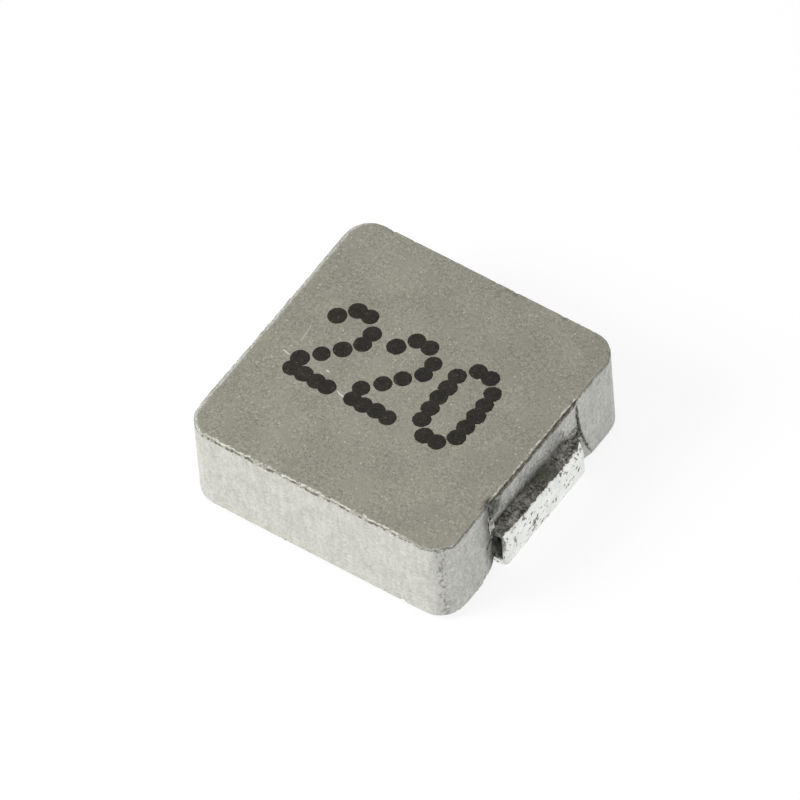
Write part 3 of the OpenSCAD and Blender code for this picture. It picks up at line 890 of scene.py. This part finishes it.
for glyphAt, letter in enumerate(marking["text"]):
    fromMiddle = glyphAt - (len(marking["text"]) - 1) / 2
    glyphX = coreMid.x / mm + marking["acrossMid"] + fromMiddle * marking["glyphStep"]
    glyphY = coreMid.y / mm + marking["upMid"]
    for row, line in enumerate(glyphs[letter]):
        for column, mark in enumerate(line):
            if mark != "#":
                continue
            x = glyphX + (column - 1.5) * marking["columnStep"] + dice.uniform(-1, 1) * marking["wobble"]
            y = glyphY + (3 - row) * marking["rowStep"] + dice.uniform(-1, 1) * marking["wobble"]
            radius = marking["dotWidth"] / 2 * dice.uniform(*marking["widthRange"])
            addDot(x, y, radius, marking["fray"][glyphAt])
for face in inkSkin.faces:
    face.smooth = len(face.verts) < 5     # all but the undersides
inkMesh = bpy.data.meshes.new("printedValue")
inkSkin.to_mesh(inkMesh)
inkSkin.free()
printedValue = addObject("printedValue", inkMesh)
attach(printedValue, "root")
ink, shader, spot = newMaterial("printInk")
grain = placed(powderGrain, place=spot, **marking["grain"])
colour = mixColour(remap(grain["Tone"], *marking["toneSpan"]), marking["ink"], marking["inkLight"])
feed(shader["Base Color"], paint(colour, grain["Flake"], marking["flakeStrength"], marking["bare"]))
feed(shader["Roughness"], mixValue(grain["Tone"], *marking["rough"]))
feed(shader["Specular IOR Level"], marking["specular"])
addBump(shader, grain["Height"], marking["bumpStrength"], marking["bumpDepth"])
inkMesh.materials.append(ink)
print("stage 5: printed value,", len(inkMesh.polygons), "faces")

# Floor, light and camera. Lamps are placed from the core's middle, in metres
studio = dict(
    floorSize=2.0, floorBase=0.9, floorGlow=0.87, floorShare=0.18, skyLight=0.5,
    key=dict(power=0.0228, towards=(-0.5, -0.6, 0.66), distance=0.06, size=0.032),
    fill=dict(power=0.02, towards=(0.8, -0.25, 0.4), distance=0.3, size=0.25),
)


def seenDirectly():                       # 1 for the camera, for reflections and through clear things
    path = tree.nodes.new("ShaderNodeLightPath")
    return larger(*(path.outputs[f"Is {ray} Ray"] for ray in ("Camera", "Glossy", "Transmission")))


def plainShader(kind, brightness, **settings):
    node = tree.nodes.new(kind)
    feed(node.inputs["Color"], (brightness, brightness, brightness, 1.0))
    for name, value in settings.items():
        feed(node.inputs[name], value)
    return node.outputs[0]


half = studio["floorSize"] / 2
floorMesh = bpy.data.meshes.new("floor")
floorMesh.from_pydata(
    [(-half, -half, 0), (half, -half, 0), (half, half, 0), (-half, half, 0)], [], [(0, 1, 2, 3)])
floor = addObject("floor", floorMesh)
paper = bpy.data.materials.new("floorPaper")
paper.use_nodes = True
tree = paper.node_tree
tree.nodes.clear()
glowing = tree.nodes.new("ShaderNodeAddShader")      # white to the eye, and it still takes the shadow
feed(glowing.inputs[0], plainShader("ShaderNodeBsdfDiffuse", studio["floorShare"]))
feed(glowing.inputs[1], plainShader("ShaderNodeEmission", 1.0, Strength=studio["floorGlow"]))
chosen = tree.nodes.new("ShaderNodeMixShader")
feed(chosen.inputs[0], seenDirectly())
feed(chosen.inputs[1], plainShader("ShaderNodeBsdfDiffuse", studio["floorBase"]))
feed(chosen.inputs[2], glowing.outputs[0])
feed(tree.nodes.new("ShaderNodeOutputMaterial").inputs["Surface"], chosen.outputs[0])
floorMesh.materials.append(paper)

sky = bpy.data.worlds.new("studioSky")
bpy.context.scene.world = sky
sky.use_nodes = True
tree = sky.node_tree
tree.nodes.clear()
backdrop = tree.nodes.new("ShaderNodeBackground")
feed(backdrop.inputs["Strength"], mixValue(seenDirectly(), studio["skyLight"], 1.0))
feed(tree.nodes.new("ShaderNodeOutputWorld").inputs["Surface"], backdrop.outputs[0])


def addLamp(name, power, towards, distance, size):
    lamp = bpy.data.lights.new(name, "AREA")
    lamp.shape = "DISK"
    lamp.size = size
    lamp.energy = power
    away = Vector(towards).normalized()
    holder = addObject(name, lamp)
    holder.location = coreMid + away * distance
    holder.rotation_euler = away.to_track_quat("Z", "Y").to_euler()
    holder.visible_camera = False


addLamp("keyLamp", **studio["key"])
addLamp("fillLamp", **studio["fill"])

# The camera looks at the middle of the block's foot. Angles are in degrees, places, lens and
# sensor in mm, and the clip distances in metres
shot = dict(azimuth=38.375, elevation=52.096, roll=-4.973, distance=270.4, right=-0.132, up=0.85,
            lens=737.4, sensor=36, clipStart=0.01, clipEnd=10)
azimuth, elevation, roll = (math.radians(shot[name]) for name in ("azimuth", "elevation", "roll"))
sideways = Vector((math.cos(azimuth), math.sin(azimuth), 0))
inwards = Vector((-math.sin(azimuth), math.cos(azimuth), 0))
back = Vector((0, 0, math.sin(elevation))) - inwards * math.cos(elevation)
rise = Vector((0, 0, math.cos(elevation))) + inwards * math.sin(elevation)
across = sideways * math.cos(roll) + rise * math.sin(roll)
upward = rise * math.cos(roll) - sideways * math.sin(roll)
offset = back * shot["distance"] + across * shot["right"] + upward * shot["up"]
aim = Vector((coreMid.x, coreMid.y, coreLow.z))
lensData = bpy.data.cameras.new("shotCamera")
lensData.lens = shot["lens"]
lensData.sensor_width = shot["sensor"]
lensData.clip_start = shot["clipStart"]
lensData.clip_end = shot["clipEnd"]
shotCamera = addObject("shotCamera", lensData)
turned = Matrix((across, upward, back)).transposed().to_4x4()
shotCamera.matrix_world = Matrix.Translation(aim + offset * mm) @ turned
bpy.context.scene.camera = shotCamera
bpy.context.scene.view_settings.view_transform = "Standard"

print("stage 6: camera and light set")
